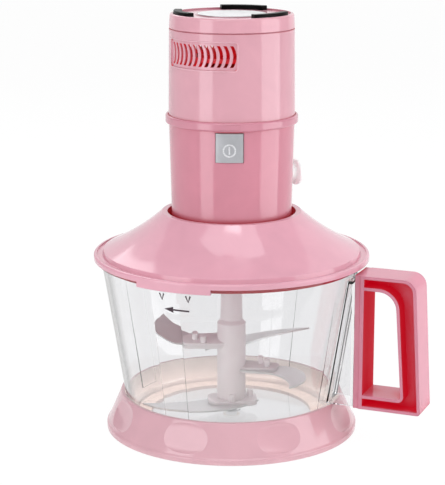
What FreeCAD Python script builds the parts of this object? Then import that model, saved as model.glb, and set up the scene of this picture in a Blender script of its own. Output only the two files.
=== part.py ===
import FreeCAD, Part
import math
import os
from types import SimpleNamespace

import Sketcher

# A countertop food chopper: a clear bowl on a flared base ring, a bayonet lid, a motor head
# that stands in the lid's well, and a hub with four blades that the motor turns from above.
# The frame: z = 0 is the table, the handle points along +X and the origin is the middle of the
# whole object's box on the table. Each piece is drawn about the upright blade axis, which stands
# at axis_x. Pieces of the motor head are drawn with the button towards -Y and then turned.

Vector = FreeCAD.Vector
FULL_TURN = 360.0

# Driving dimensions, in millimetres, degrees and counts
SIZES = {
    # gaps between separate pieces
    "clearance": 0.3,
    "shaft_gap": 0.05,
    "overcut": 1.0,
    "sink": 0.5,
    # bowl
    "bowl_lift": 7.6,
    "bowl_bottom_radius": 73.2,
    "bowl_top_radius": 92.0,
    "bowl_height": 115.6,
    "bowl_wall": 2.4,
    "bowl_floor": 2.6,
    "bowl_corner": 6.0,
    "baffle_depth": 0.8,
    "baffle_span": 14.0,
    "baffle_angle": 262.0,
    "baffle_count": 4,
    "lug_reach": 3.0,
    "lug_height": 1.4,
    "lug_span": 33.0,
    "lug_count": 2,
    "lug_gap": 1.0,
    "bracket_width": 25.0,
    "bracket_overhang": 3.5,
    "bracket_wall": 2.4,
    "bracket_drop": 6.4,
    "bracket_rise": 1.5,
    "spindle_boss_radius": 6.5,
    "spindle_boss_height": 0.5,
    "spindle_cover": 0.6,
    "spindle_radius": 4.0,
    "spindle_length": 49.0,
    # base ring
    "base_height": 26.3,
    "base_flare": 16.3,
    "base_wall": 2.4,
    "base_lip": 1.2,
    "base_lip_height": 3.2,
    "base_landing": 3.2,
    "base_shelf_width": 15.7,
    "base_core_gap": 8.3,
    "base_shelf": 2.4,
    "base_edge": 1.0,
    "dimple_half_width": 23.5,
    "dimple_half_height": 10.2,
    "dimple_depth": 1.9,
    "dimple_count": 8,
    # handle
    "bond_gap": 0.1,
    "handle_depth": 26.0,
    "handle_width": 48.0,
    "handle_taper": 5.2,
    "handle_drop": 1.8,
    "handle_height": 94.6,
    "handle_rail": 6.6,
    "handle_tongue": 3.8,
    "handle_set_back": 0.8,
    "handle_rim": 2.2,
    "handle_web": 2.4,
    "handle_corner": 9.5,
    "grip_corner": 12.5,
    "handle_edge": 2.0,
    "grip_width": 14.0,
    "handle_bar": 10.0,
    # screws
    "screw_radius": 1.5,
    "screw_head_radius": 3.1,
    "screw_head_height": 2.0,
    # lid
    "lid_seat_gap": 0.4,
    "lid_edge": 3.8,
    "lid_lip": 2.2,
    "lid_lip_edge": 1.4,
    "lid_gutter": 1.0,
    "lid_crown_inset": 1.8,
    "lid_crown_lean": 1.0,
    "lid_crown_height": 6.3,
    "lid_curve": 160.0,
    "lid_height": 33.2,
    "lid_rim_width": 3.8,
    "well_gap": 3.0,
    "lid_wall": 2.4,
    "well_depth": 18.4,
    "hub_hole_gap": 2.7,
    "skirt_wall": 2.2,
    "skirt_depth": 3.6,
    "seal_height": 1.7,
    "tab_span": 32.5,
    "tab_gap": 0.4,
    "hook_gap": 0.3,
    "tab_wall": 1.6,
    "tab_angle": 267.6,
    "hook_height": 1.4,
    # blade hub and blades
    "hub_lift": 3.4,
    "hub_lower_radius": 10.2,
    "hub_upper_radius": 7.9,
    "hub_neck_radius": 6.9,
    "hub_shoulder": 61.6,
    "hub_shoulder_height": 2.5,
    "hub_bore_gap": 6.0,
    "bush_wall": 2.1,
    "hub_bush_length": 18.0,
    "drive_flats": 9.0,
    "blade_root_gap": 1.35,
    "blade_gap": 9.2,
    "blade_gauge": 1.2,
    "blade_trail": 6.0,
    "blade_tip_offset": 4.0,
    "blade_inner_curve": 80.0,
    "heel_reach": 19.5,
    "heel_side": 2.0,
    "heel_curve": 52.0,
    "heel_gap": 8.0,
    "sickle_side": 8.0,
    "sickle_arm": 34.0,
    "sickle_inner_arm": 30.0,
    "left_tip_inset": 14.0,
    "left_tip_drop": 30.0,
    "left_outer_curve": 24.0,
    "left_inner_curve": 80.0,
    "right_tip_inset": 13.6,
    "right_tip_drop": 26.7,
    "right_outer_curve": 19.8,
    "right_inner_curve": 24.0,
    "arm_reach": 34.0,
    "arm_width": 15.0,
    "arm_thickness": 4.6,
    "arm_edge": 4.0,
    "foot_plate_left": 18.0,
    "foot_plate_right": 17.0,
    "foot_plate_front": 12.0,
    "foot_plate_rear": 8.0,
    "foot_plate_edge": 6.0,
    "foot_plate_thickness": 3.4,
    "peg_radius": 2.1,
    "peg_height": 5.0,
    "inner_peg_reach": 20.0,
    "inner_peg_side": 6.3,
    "outer_peg_reach": 26.0,
    "outer_peg_side": 2.3,
    "heel_peg_reach": 13.5,
    "front_peg_side": 10.6,
    "upper_left_level": 52.3,
    "upper_left_angle": 202.0,
    "upper_left_pitch": 19.0,
    "upper_right_level": 47.5,
    "upper_right_angle": 45.0,
    "upper_right_pitch": 8.0,
    "upper_right_rise": 4.5,
    "lower_front_level": 6.6,
    "lower_front_angle": 206.0,
    "lower_front_pitch": 1.0,
    "lower_right_level": 31.8,
    "lower_right_angle": 4.0,
    "lower_right_pitch": -6.0,
    # motor head shells
    "motor_turn": 20.0,
    "sleeve_bottom_radius": 41.6,
    "sleeve_top_radius": 43.6,
    "sleeve_height": 81.0,
    "shell_wall": 2.4,
    "spigot_height": 11.0,
    "spigot_root": 5.0,
    "ledge_height": 11.7,
    "ledge_width": 3.0,
    "ledge_thickness": 2.4,
    "collar_radius": 46.0,
    "collar_height": 5.9,
    "collar_lip": 1.6,
    "collar_edge": 1.2,
    "collar_pad": 0.4,
    "collar_pad_span": 17.0,
    "housing_bottom_radius": 43.9,
    "housing_top_radius": 43.2,
    "housing_height": 63.0,
    "cap_taper": 0.55,
    "cap_height": 10.4,
    "cap_edge": 1.5,
    "cap_reveal": 0.8,
    "cap_reveal_depth": 0.7,
    "cap_rim": 2.3,
    "cap_recess": 1.0,
    "cap_plate": 2.4,
    "cap_spigot": 5.0,
    "plate_disc_radius": 25.0,
    "plate_disc_height": 0.2,
    "plate_inset": 1.5,
    "plate_thickness": 0.4,
    "foot_width": 5.6,
    "foot_height": 3.2,
    "foot_edge": 0.9,
    "foot_gap": 0.35,
    "foot_span": 50.0,
    "foot_angle": 79.0,
    "foot_count": 3,
    "cap_boss_radius": 5.0,
    "cap_post_radius": 3.9,
    "cap_screw_length": 20.0,
    # vents
    "vent_depth": 0.6,
    "vent_panel_height": 18.4,
    "vent_panel_span": 76.0,
    "vent_level": 48.2,
    "vent_slot_height": 14.4,
    "vent_slot_width": 2.3,
    "vent_slot_curve": 13.0,
    "vent_first_angle": 1.8,
    "vent_pitch": 6.0,
    "vent_count": 12,
    "vent_group_step": 120.0,
    # button and switch
    "button_width": 18.5,
    "button_height": 19.7,
    "button_top_gap": 1.4,
    "button_proud": 1.05,
    "button_depth": 5.7,
    "button_lip": 1.6,
    "button_travel": 2.2,
    "plunger_radius": 2.4,
    "plunger_length": 5.7,
    "switch_width": 16.0,
    "switch_depth": 12.6,
    "switch_height": 16.5,
    # cord gland
    "gland_angle": 32.0,
    "gland_level": 40.7,
    "gland_bore": 3.2,
    "gland_neck_radius": 5.8,
    "gland_flange_radius": 9.3,
    "gland_flange_thickness": 3.6,
    "gland_stand": 11.5,
    "gland_nut_radius": 7.5,
    "gland_nut_thickness": 2.4,
    # motor
    "end_plate_thickness": 4.0,
    "end_screw_inset": 1.5,
    "bush_radius": 8.0,
    "bush_length": 12.0,
    "bush_boss_wall": 3.0,
    "bracket_plate": 4.0,
    "bolt_radius": 1.8,
    "bolt_count": 4,
    "bolt_inset": 4.0,
    "bolt_grip": 10.0,
    "bolt_angle": 45.0,
    "post_radius": 3.4,
    "stator_ring": 7.5,
    "motor_gap": 3.1,
    "coil_depth": 4.1,
    "stator_height": 30.0,
    "pole_shoe": 3.5,
    "pole_span": 110.0,
    "pole_neck_span": 40.0,
    "pole_count": 2,
    "air_gap": 0.6,
    "coil_span": 100.0,
    "coil_side_gap": 2.0,
    "coil_end": 5.6,
    "armature_slot": 2.4,
    "armature_slot_depth": 8.0,
    "armature_slots": 12,
    "winding_inner_radius": 7.0,
    "winding_inset": 2.8,
    "winding_end": 5.8,
    "commutator_radius": 11.5,
    "commutator_height": 16.0,
    "commutator_rise": 10.0,
    "brush_width": 6.0,
    "brush_height": 10.0,
    "brush_length": 15.0,
    "brush_gap": 0.3,
    "holder_wall": 1.6,
    "holder_gap": 2.5,
    "holder_inset": 3.0,
    "upper_plate": 3.0,
    "upper_leg": 6.5,
    "upper_window_radius": 7.0,
    "upper_window_circle": 20.0,
    "upper_window_count": 4,
    "shaft_radius": 4.0,
    "shaft_top": 2.8,
    "coupling_radius": 10.3,
    "coupling_length": 19.0,
    "coupling_grip": 5.6,
    "fan_hub_radius": 8.0,
    "fan_inset": 6.0,
    "fan_gap": 6.6,
    "fan_disc": 1.2,
    "fan_height": 8.0,
    "fan_blade": 1.4,
    "fan_blade_count": 9,
}

doc = FreeCAD.newDocument("food_chopper")
sheet = doc.addObject("Spreadsheet::Sheet", "Sizes")
for row, (alias, number) in enumerate(SIZES.items(), start=1):
    sheet.set(f"A{row}", alias)
    sheet.set(f"B{row}", str(number))
    sheet.setAlias(f"B{row}", alias)
doc.recompute()


class Size:
    """A number together with the sheet expression that gives it."""

    def __init__(self, value, text):
        self.value = value
        self.text = text

    def __add__(self, other):
        other = sized(other)
        return Size(self.value + other.value, f"({self.text} + {other.text})")

    def __sub__(self, other):
        other = sized(other)
        return Size(self.value - other.value, f"({self.text} - {other.text})")

    def __mul__(self, other):
        other = sized(other)
        return Size(self.value * other.value, f"({self.text} * {other.text})")

    def __truediv__(self, other):
        other = sized(other)
        return Size(self.value / other.value, f"({self.text} / {other.text})")

    def __neg__(self):
        return Size(-self.value, f"(0 - {self.text})")

    def __radd__(self, other):
        return sized(other) + self

    def __rsub__(self, other):
        return sized(other) - self

    def __rmul__(self, other):
        return sized(other) * self


def sized(number):
    return number if isinstance(number, Size) else Size(float(number), repr(float(number)))


def cosine(angle):
    return Size(math.cos(math.radians(angle.value)), f"cos({angle.text} * 1 deg)")


def sine(angle):
    return Size(math.sin(math.radians(angle.value)), f"sin({angle.text} * 1 deg)")


def root(number):
    return Size(math.sqrt(number.value), f"sqrt({number.text})")


def bind(thing, name, size):
    thing.setExpression(name, sized(size).text)


s = SimpleNamespace(**{alias: Size(float(number), f"Sizes.{alias}") for alias, number in SIZES.items()})


# Outlines: corners are (x, y) or (x, y, radius), and a Bow between two corners bends that edge
class Bow:
    """An edge bent to a radius, towards the right of the way it is drawn or to its left."""

    def __init__(self, radius, right=True):
        self.radius = sized(radius)
        self.right = right


def arc_between(start, end, radius, right):
    # gives the arc as the sketcher holds it, anticlockwise, and whether its ends are swapped
    chord = end - start
    half = chord.Length / 2
    across = Vector(-chord.y, chord.x, 0).normalize()
    side = 1 if right else -1
    centre = (start + end) / 2 + across * side * math.sqrt(radius**2 - half**2)
    first, last = (start, end) if right else (end, start)
    begin = math.atan2(first.y - centre.y, first.x - centre.x)
    finish = math.atan2(last.y - centre.y, last.x - centre.x)
    if finish < begin:
        finish += 2 * math.pi
    circle = Part.Circle(centre, Vector(0, 0, 1), radius)
    return Part.ArcOfCircle(circle, begin, finish), not right


def place_point(sketch, piece, position, x, y):
    # ties one point of a sketch to the sheet
    for kind, axis, size in (("DistanceX", -2, sized(x)), ("DistanceY", -1, sized(y))):
        if size.text == "0.0":
            sketch.addConstraint(Sketcher.Constraint("PointOnObject", piece, position, axis))
        else:
            number = sketch.addConstraint(
                Sketcher.Constraint(kind, -1, 1, piece, position, size.value)
            )
            bind(sketch, f"Constraints[{number}]", size)


def draw_outline(sketch, outline):
    corners = [item for item in outline if not isinstance(item, Bow)]
    count = len(corners)
    bows = {}
    seen = 0
    for item in outline:
        if isinstance(item, Bow):
            bows[seen - 1] = item
        else:
            seen += 1
    spots = [Vector(sized(c[0]).value, sized(c[1]).value, 0) for c in corners]
    arrive = list(spots)
    leave = list(spots)
    for i, corner in enumerate(corners):
        if len(corner) == 3:
            back = (spots[i - 1] - spots[i]).normalize()
            ahead = (spots[(i + 1) % count] - spots[i]).normalize()
            run = sized(corner[2]).value / math.tan(back.getAngle(ahead) / 2)
            arrive[i] = spots[i] + back * run
            leave[i] = spots[i] + ahead * run
    edges = []
    for i in range(count):
        start = leave[i]
        end = arrive[(i + 1) % count]
        if i in bows:
            shape, swapped = arc_between(start, end, bows[i].radius.value, bows[i].right)
        else:
            shape, swapped = Part.LineSegment(start, end), False
        number = sketch.addGeometry(shape)
        edges.append((number, 2, 1) if swapped else (number, 1, 2))
        if i in bows:
            radius = sketch.addConstraint(
                Sketcher.Constraint("Radius", number, bows[i].radius.value)
            )
            bind(sketch, f"Constraints[{radius}]", bows[i].radius)
    for i, corner in enumerate(corners):
        before, _, before_end = edges[i - 1]
        after, after_start, _ = edges[i]
        if len(corner) == 2:
            sketch.addConstraint(
                Sketcher.Constraint("Coincident", before, before_end, after, after_start)
            )
            place_point(sketch, after, after_start, corner[0], corner[1])
            continue
        radius = sized(corner[2])
        turn = (arrive[i] - arrive[i - 1]).cross(leave[i] - arrive[i]).z
        fillet, swapped = arc_between(arrive[i], leave[i], radius.value, turn > 0)
        number = sketch.addGeometry(fillet)
        first, last = (2, 1) if swapped else (1, 2)
        sketch.addConstraint(Sketcher.Constraint("Tangent", before, before_end, number, first))
        sketch.addConstraint(Sketcher.Constraint("Tangent", number, last, after, after_start))
        size = sketch.addConstraint(Sketcher.Constraint("Radius", number, radius.value))
        bind(sketch, f"Constraints[{size}]", radius)
        point = sketch.addGeometry(Part.Point(spots[i]), True)
        place_point(sketch, point, 1, corner[0], corner[1])
        sketch.addConstraint(Sketcher.Constraint("PointOnObject", point, 1, before))
        sketch.addConstraint(Sketcher.Constraint("PointOnObject", point, 1, after))


def draw_circle(sketch, x, y, radius):
    spot = Vector(sized(x).value, sized(y).value, 0)
    number = sketch.addGeometry(Part.Circle(spot, Vector(0, 0, 1), sized(radius).value))
    size = sketch.addConstraint(Sketcher.Constraint("Radius", number, sized(radius).value))
    bind(sketch, f"Constraints[{size}]", radius)
    place_point(sketch, number, 3, x, y)


def rectangle(left, bottom, right, top):
    return [(left, bottom), (right, bottom), (right, top), (left, top)]


class Piece:
    """A body of sketched features, drawn about the blade axis."""

    def __init__(self, label):
        self.body = doc.addObject("PartDesign::Body", label)
        self.body.Label = label
        set_down(self.body)

    def origin(self, role):
        return next(item for item in self.body.Origin.OriginFeatures if item.Role == role)

    def sketch(self, plane, outlines, lift=0, turn=0):
        # lift moves the sketch along its plane's normal and turn swings it about the blade axis
        lift = sized(lift)
        turn = sized(turn)
        sketch = self.body.newObject("Sketcher::SketchObject", f"{self.body.Name}_sketch")
        sketch.AttachmentSupport = [(self.origin(plane), "")]
        sketch.MapMode = "FlatFace"
        axis = Vector(0, 0, 1) if plane == "XY_Plane" else Vector(0, 1, 0)
        sketch.AttachmentOffset = FreeCAD.Placement(
            Vector(0, 0, lift.value), FreeCAD.Rotation(axis, turn.value)
        )
        if turn.value:
            bind(sketch, "AttachmentOffset.Rotation.Angle", turn * Size(1, "1 deg"))
        if plane == "XY_Plane" or not turn.value:
            bind(sketch, "AttachmentOffset.Base.z", lift)
        else:
            bind(sketch, "AttachmentOffset.Base.x", lift * sine(turn))
            bind(sketch, "AttachmentOffset.Base.z", lift * cosine(turn))
        for outline in outlines:
            if isinstance(outline, tuple):
                draw_circle(sketch, *outline)
            else:
                draw_outline(sketch, outline)
        return sketch

    def revolve(self, outline, span=FULL_TURN, turn=0, cut=False):
        sketch = self.sketch("XZ_Plane", [outline], turn=turn)
        kind = "PartDesign::Groove" if cut else "PartDesign::Revolution"
        feature = self.body.newObject(kind, f"{self.body.Name}_turned")
        feature.Profile = sketch
        feature.ReferenceAxis = (sketch, ["V_Axis"])
        feature.Midplane = sized(span).value < FULL_TURN
        feature.Angle = sized(span).value
        bind(feature, "Angle", span)
        sketch.Visibility = False
        return feature

    def pad(self, plane, outlines, length, lift=0, turn=0, both=False, cut=False, flip=False):
        # a cut runs against its plane's normal unless it is flipped
        sketch = self.sketch(plane, outlines, lift, turn)
        kind = "PartDesign::Pocket" if cut else "PartDesign::Pad"
        feature = self.body.newObject(kind, f"{self.body.Name}_{'cut' if cut else 'pad'}")
        feature.Profile = sketch
        feature.Length = sized(length).value
        bind(feature, "Length", length)
        feature.SideType = "Symmetric" if both else "One side"
        feature.Reversed = flip
        sketch.Visibility = False
        return feature

    def repeat(self, features, count, span=FULL_TURN, backwards=False):
        # copies features about the blade axis, over the whole turn or over a span
        pattern = self.body.newObject("PartDesign::PolarPattern", f"{self.body.Name}_pattern")
        pattern.Originals = features
        pattern.Axis = (self.origin("Z_Axis"), [""])
        pattern.Angle = sized(span).value
        pattern.Occurrences = int(sized(count).value)
        bind(pattern, "Angle", span)
        bind(pattern, "Occurrences", count)
        pattern.Reversed = backwards
        self.body.Tip = pattern
        return pattern

    def turn_by(self, angle):
        set_down(self.body, turn=FreeCAD.Rotation(Vector(0, 0, 1), angle.value))
        bind(self.body, "Placement.Rotation.Angle", angle * Size(1, "1 deg"))
        return self


def set_down(thing, height=0, turn=FreeCAD.Rotation()):
    # stands a piece on the blade axis at a height
    thing.Placement = FreeCAD.Placement(Vector(axis_x.value, 0, sized(height).value), turn)
    bind(thing, "Placement.Base.x", axis_x)
    bind(thing, "Placement.Base.z", height)


sub_parts = []


def keep(thing):
    sub_parts.append(thing)
    return thing


# Levels along the blade axis, from the table up
rim = s.bowl_lift + s.bowl_height
floor_top = s.bowl_lift + s.bowl_floor
bowl_slope = (s.bowl_top_radius - s.bowl_bottom_radius) / s.bowl_height
hub_foot = floor_top + s.hub_lift
spindle_foot = s.bowl_lift + s.spindle_cover
spindle_top = spindle_foot + s.spindle_length
well_floor = rim + s.lid_height - s.well_depth
sleeve_foot = well_floor + s.clearance
sleeve_top = sleeve_foot + s.sleeve_height
sleeve_slope = (s.sleeve_top_radius - s.sleeve_bottom_radius) / s.sleeve_height
housing_foot = sleeve_top + s.collar_lip
housing_top = housing_foot + s.housing_height
cap_top = housing_top + s.cap_height
recess = cap_top - s.cap_recess
end_plate_foot = sleeve_foot + s.ledge_height
bracket_foot = end_plate_foot + s.end_plate_thickness
bracket_top = bracket_foot + s.bracket_plate
fan_top = recess - s.cap_plate - s.fan_gap
fan_foot = fan_top - s.fan_height
bush_top = fan_foot - s.clearance * 2
upper_foot = bush_top - s.bush_length
upper_top = upper_foot + s.upper_plate
stator_top = upper_foot - s.upper_leg
stator_foot = stator_top - s.stator_height
commutator_foot = end_plate_foot + s.bush_length + s.commutator_rise
button_top = sleeve_top - s.button_top_gap
button_foot = button_top - s.button_height
button_middle = (button_top + button_foot) / 2
coupling_top = end_plate_foot - s.clearance * 2
coupling_foot = coupling_top - s.coupling_length
shaft_foot = coupling_top - s.coupling_grip
hub_top = coupling_foot - s.clearance * 2
drive_top = shaft_foot - s.clearance * 2
handle_top = rim - s.handle_drop
handle_foot = handle_top - s.handle_height


def bowl_radius(level):
    return s.bowl_bottom_radius + (level - s.bowl_lift) * bowl_slope


def sleeve_radius(level):
    return s.sleeve_bottom_radius + (level - sleeve_foot) * sleeve_slope


# Radii that pieces share
base_radius = s.bowl_bottom_radius + s.base_flare
base_core_radius = s.bowl_bottom_radius + s.base_core_gap
base_opening = s.bowl_bottom_radius - s.base_shelf_width
bracket_reach = s.bowl_top_radius + s.bracket_overhang
handle_face = bracket_reach + s.bond_gap
handle_rail_face = handle_face + s.handle_rail
handle_reach = handle_face + s.handle_width
lid_radius = s.bowl_top_radius + s.lug_reach + s.tab_gap + s.tab_wall
lid_crown_radius = s.bowl_top_radius - s.lid_crown_inset
lid_opening = sleeve_radius(rim + s.lid_height) + s.well_gap
bush_outer = s.spindle_radius + s.shaft_gap + s.bush_wall
blade_root = bush_outer + s.blade_root_gap
blade_reach = s.bowl_bottom_radius - s.blade_gap
spigot_radius = s.housing_bottom_radius - s.shell_wall - s.clearance
spigot_inner = spigot_radius - s.shell_wall
ledge_inner = sleeve_radius(end_plate_foot) - s.shell_wall - s.ledge_width
cap_radius = s.housing_top_radius - s.cap_taper
foot_circle = cap_radius - s.cap_rim - s.foot_gap - s.foot_width / 2
button_radius = sleeve_radius(button_middle) + s.button_proud
stator_radius = spigot_inner - s.motor_gap
stator_inner = stator_radius - s.stator_ring
bolt_circle = stator_radius - s.bolt_inset
end_screw_circle = ledge_inner - s.screw_head_radius - s.end_screw_inset
shoe_outer = stator_inner - s.coil_depth
shoe_inner = shoe_outer - s.pole_shoe
armature_radius = shoe_inner - s.air_gap
fan_radius = stator_radius - s.fan_inset
far = s.collar_radius + s.collar_height * 4
axis_x = (lid_radius - handle_reach) / 2


# Base ring: a flared ring with a shelf that carries the bowl and oval dimples for the fingers
def base_ring():
    lip_top = s.base_lip_height + s.base_lip
    inner_top = bowl_radius(s.base_height) + s.clearance
    outer_top = inner_top + s.base_wall
    shelf_foot = s.bowl_lift - s.base_shelf
    flank = base_radius - s.base_lip
    piece = Piece("base_ring")
    piece.revolve([
        (base_radius - s.base_landing, 0),
        (base_radius, 0),
        (base_radius, s.base_lip_height, s.base_edge),
        (flank, lip_top),
        (outer_top, s.base_height, s.base_edge),
        (inner_top, s.base_height),
        (base_core_radius, s.bowl_lift),
        (base_opening, s.bowl_lift),
        (base_opening, shelf_foot),
        (base_core_radius, shelf_foot),
    ])
    dimple = piece.body.newObject("PartDesign::SubtractiveEllipsoid", "base_dimple")
    level = (lip_top + s.base_height) / 2
    middle = (flank + outer_top) / 2
    lean = math.atan2(flank.value - outer_top.value, s.base_height.value - lip_top.value)
    dimple.Placement = FreeCAD.Placement(
        Vector(middle.value, 0, level.value), FreeCAD.Rotation(Vector(0, 1, 0), -math.degrees(lean))
    )
    bind(dimple, "Placement.Base.x", middle)
    bind(dimple, "Placement.Base.z", level)
    bind(dimple, "Radius1", s.dimple_half_height)
    bind(dimple, "Radius2", s.dimple_depth)
    bind(dimple, "Radius3", s.dimple_half_width)
    piece.repeat([dimple], s.dimple_count)
    keep(piece.body)


# Bowl: a clear tapered shell with bayonet lugs, baffles, a boss for the spindle and the
# hollow bracket that the handle is bonded to
def bowl():
    piece = Piece("bowl")
    inner_foot = bowl_radius(floor_top) - s.bowl_wall
    inner_corner = s.bowl_corner - s.bowl_wall
    piece.revolve([
        (0, s.bowl_lift),
        (s.bowl_bottom_radius, s.bowl_lift, s.bowl_corner),
        (s.bowl_top_radius, rim),
        (s.bowl_top_radius - s.bowl_wall, rim),
        (inner_foot, floor_top, inner_corner),
        (0, floor_top),
    ])
    boss_top = floor_top + s.spindle_boss_height
    piece.pad("XY_Plane", [(0, 0, s.spindle_boss_radius)], boss_top - spindle_foot, lift=spindle_foot)
    baffle_top = rim - s.bracket_drop * 2
    baffle_foot = floor_top + s.bowl_corner
    bed = s.bowl_wall / 2
    baffle = piece.revolve([
        (bowl_radius(baffle_foot) - s.bowl_wall - s.baffle_depth, baffle_foot),
        (bowl_radius(baffle_foot) - bed, baffle_foot),
        (bowl_radius(baffle_top) - bed, baffle_top),
        (bowl_radius(baffle_top) - s.bowl_wall, baffle_top),
    ], span=s.baffle_span, turn=s.baffle_angle)
    piece.repeat([baffle], s.baffle_count)
    lug_angle = s.tab_angle - (s.tab_span + s.lug_span) / 2 - s.lug_gap
    lug = piece.revolve(
        rectangle(s.bowl_top_radius - s.bowl_wall, rim - s.lug_height,
                  s.bowl_top_radius + s.lug_reach, rim),
        span=s.lug_span, turn=lug_angle)
    piece.repeat([lug], s.lug_count)
    foot = s.base_height + s.bracket_rise
    top = rim - s.bracket_drop
    root_depth = s.bowl_wall * 0.7
    piece.pad("XZ_Plane", [[
        (bowl_radius(foot) - root_depth, foot),
        (bracket_reach, foot),
        (bracket_reach, top),
        (bowl_radius(top) - root_depth, top),
    ]], s.bracket_width, both=True)
    hollow_top = top - s.bracket_wall
    hollow_reach = bracket_reach - s.bracket_wall
    piece.pad("XZ_Plane", [[
        (bowl_radius(foot) + s.clearance, foot - s.overcut),
        (hollow_reach, foot - s.overcut),
        (hollow_reach, hollow_top),
        (bowl_radius(hollow_top) + s.clearance, hollow_top),
    ]], s.bracket_width - s.bracket_wall * 2, both=True, cut=True)
    piece.pad("XY_Plane", [(0, 0, s.spindle_radius)], boss_top - spindle_foot, lift=boss_top, cut=True)
    keep(piece.body)


def spindle_pin():
    piece = Piece("spindle_pin")
    tip = s.spindle_radius / 4
    piece.revolve([
        (0, spindle_foot),
        (s.spindle_radius, spindle_foot),
        (s.spindle_radius, spindle_top, tip),
        (0, spindle_top),
    ])
    keep(piece.body)


# Handle: a loop of I section that leans in towards its top, with a set-back tongue along its
# rail that is bonded to the bowl's bracket
def handle():
    piece = Piece("handle")
    tongue_end = handle_face + s.handle_tongue
    hole_reach = handle_reach - s.grip_width
    hole_foot = handle_foot + s.handle_bar
    hole_top = handle_top - s.handle_bar
    piece.pad("XZ_Plane", [
        [
            (tongue_end, handle_foot),
            (handle_reach, handle_foot, s.handle_edge),
            (handle_reach - s.handle_taper, handle_top, s.handle_corner),
            (tongue_end, handle_top),
        ],
        [
            (handle_rail_face, hole_foot),
            (hole_reach, hole_foot, s.handle_edge),
            (hole_reach - s.handle_taper, hole_top, s.grip_corner),
            (handle_rail_face, hole_top),
        ],
    ], s.handle_depth, both=True)
    outer = handle_reach - s.handle_rim
    inner = hole_reach + s.handle_rim
    channel = [
        (handle_rail_face, handle_foot + s.handle_rim),
        (outer, handle_foot + s.handle_rim),
        (outer - s.handle_taper, handle_top - s.handle_rim, s.handle_corner - s.handle_rim),
        (handle_rail_face, handle_top - s.handle_rim),
        (handle_rail_face, hole_top + s.handle_rim),
        (inner - s.handle_taper, hole_top + s.handle_rim, s.grip_corner + s.handle_rim),
        (inner, hole_foot - s.handle_rim, s.handle_edge + s.handle_rim),
        (handle_rail_face, hole_foot - s.handle_rim),
    ]
    depth = (s.handle_depth - s.handle_web) / 2
    piece.pad("XZ_Plane", [channel], depth, lift=s.handle_depth / 2, cut=True)
    piece.pad("XZ_Plane", [channel], depth, lift=-s.handle_depth / 2, cut=True, flip=True)
    piece.pad("XZ_Plane", [rectangle(handle_face, handle_foot, tongue_end + s.sink, handle_top)],
              s.handle_depth - s.handle_set_back * 2, both=True)
    keep(piece.body)


# Lid: a hollow dome with a well for the motor head, a flange over the bowl's rim, a skirt
# inside it and two tabs whose hooks turn under the bowl's lugs
skirt_radius = bowl_radius(rim - s.skirt_depth) - s.bowl_wall - s.clearance * 2
flange_foot = rim + s.lid_seat_gap
seal_foot = rim + s.lid_seat_gap / 2
hub_hole = s.coupling_radius + s.hub_hole_gap


def lid_cover():
    piece = Piece("lid_cover")
    rim_top = rim + s.lid_height
    crown = rim + s.lid_crown_height
    lip_top = flange_foot + s.lid_edge
    lip_inner = lid_radius - s.lid_lip
    gutter = lip_top - s.lid_gutter
    groove = seal_foot + s.seal_height + s.clearance
    groove_radius = s.bowl_top_radius + s.clearance
    skirt_inner = skirt_radius - s.skirt_wall
    well_outer = lid_opening + s.lid_wall
    piece.revolve([
        (lid_opening, well_floor),
        (hub_hole, well_floor),
        (hub_hole, well_floor - s.lid_wall),
        (well_outer, well_floor - s.lid_wall),
        (well_outer, rim_top - s.lid_wall),
        Bow(s.lid_curve),
        (skirt_inner, crown - s.lid_wall / 2),
        (skirt_inner, rim - s.skirt_depth),
        (skirt_radius, rim - s.skirt_depth),
        (skirt_radius, groove),
        (groove_radius, groove),
        (groove_radius, flange_foot),
        (lid_radius, flange_foot),
        (lid_radius, lip_top, s.lid_lip_edge),
        (lip_inner, lip_top),
        (lip_inner, gutter),
        (lid_crown_radius + s.lid_crown_lean, gutter),
        (lid_crown_radius, crown),
        Bow(s.lid_curve, right=False),
        (lid_opening + s.lid_rim_width, rim_top),
        (lid_opening, rim_top),
    ])
    tab_foot = rim - s.lug_height - s.hook_gap - s.hook_height
    tab_inner = lid_radius - s.tab_wall
    tab = piece.revolve(
        rectangle(tab_inner, tab_foot, lid_radius, flange_foot + s.lid_edge / 2), span=s.tab_span)
    hook_inner = s.bowl_top_radius + s.clearance * 2
    hook = piece.revolve(
        rectangle(hook_inner, tab_foot, lid_radius, tab_foot + s.hook_height), span=s.tab_span)
    piece.repeat([tab, hook], s.lug_count)
    keep(piece.turn_by(s.tab_angle).body)


def lid_seal():
    piece = Piece("lid_seal")
    piece.revolve(rectangle(skirt_radius + s.clearance, seal_foot,
                            s.bowl_top_radius, seal_foot + s.seal_height))
    keep(piece.body)


# Blades: four stamped wings, drawn along +X with the sharp edge towards +Y, then pitched
# about their length and swung round the hub. Two run on past the hub to a heel and two are sickles.
FLAT = Size(0.0, "0")
WINGS = {
    "upper_blade_left": (s.upper_left_level, s.upper_left_angle, s.upper_left_pitch, FLAT),
    "upper_blade_right": (s.upper_right_level, s.upper_right_angle, s.upper_right_pitch,
                          s.upper_right_rise),
    "lower_blade_front": (s.lower_front_level, s.lower_front_angle, s.lower_front_pitch, FLAT),
    "lower_blade_right": (s.lower_right_level, s.lower_right_angle, s.lower_right_pitch, FLAT),
}
SICKLES = {
    "upper_blade_left": (s.left_tip_inset, s.left_tip_drop, s.left_outer_curve, s.left_inner_curve),
    "lower_blade_right": (s.right_tip_inset, s.right_tip_drop, s.right_outer_curve, s.right_inner_curve),
}
FOOT_BLADE = "lower_blade_front"
ARMLESS_BLADE = "upper_blade_right"


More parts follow.
